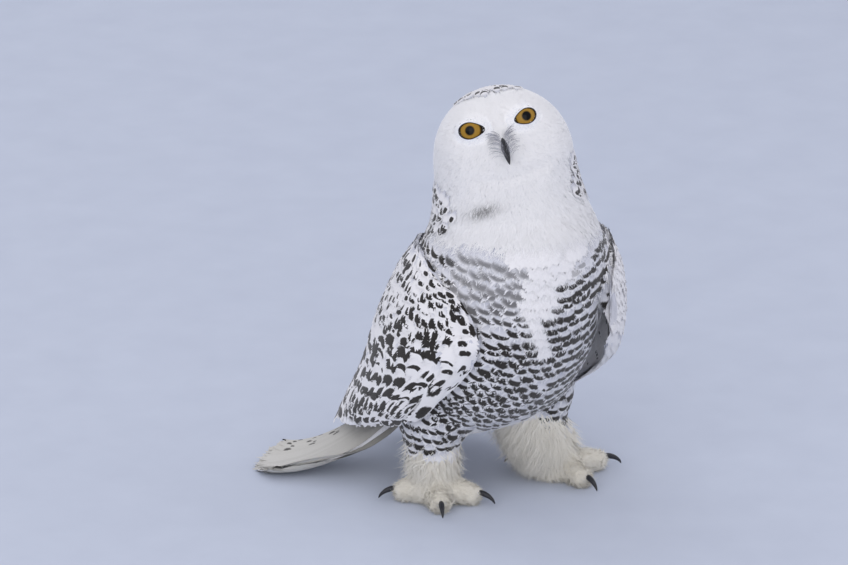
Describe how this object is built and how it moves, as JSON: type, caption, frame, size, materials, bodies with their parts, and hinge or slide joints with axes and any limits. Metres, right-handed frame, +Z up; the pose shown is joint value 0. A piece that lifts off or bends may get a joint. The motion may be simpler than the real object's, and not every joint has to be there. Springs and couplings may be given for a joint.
{
  "type": "snowy owl",
  "caption": "Life-size standing snowy owl with folded wings, head turned over its right side, feathered legs and curved claws; a still display model.",
  "frame": {"origin": "on the floor, under the middle of the whole owl's bounding box", "axes": "+Z up; the owl's pelvis faces -Y and its left side is +X; the breast and face are turned towards its right"},
  "size_m": [0.2686, 0.3386, 0.418],
  "materials": {
    "plumage": "soft white feathers with dark brown bars",
    "leg_plumage": "dense cream hair-like feathers",
    "horn": "smooth blackish slate horn, slightly glossy",
    "eye": "wet golden yellow eye with a black pupil"
  },
  "bodies": {
    "root": {"bill": "horn", "claw_left_1": "horn", "claw_left_2": "horn", "claw_left_3": "horn", "claw_left_4": "horn", "claw_right_1": "horn", "claw_right_2": "horn", "claw_right_3": "horn", "claw_right_4": "horn", "eye_left": "eye", "eye_right": "eye", "foot_left": "leg_plumage", "foot_right": "leg_plumage", "head": "plumage", "leg_left": "leg_plumage", "leg_right": "leg_plumage", "neck": "plumage", "tail": "plumage", "thigh_left": "plumage", "thigh_right": "plumage", "toe_left_1": "leg_plumage", "toe_left_2": "leg_plumage", "toe_left_3": "leg_plumage", "toe_left_4": "leg_plumage", "toe_right_1": "leg_plumage", "toe_right_2": "leg_plumage", "toe_right_3": "leg_plumage", "toe_right_4": "leg_plumage", "trunk": "plumage", "wing_left": "plumage", "wing_right": "plumage"}
  },
  "joints": []
}
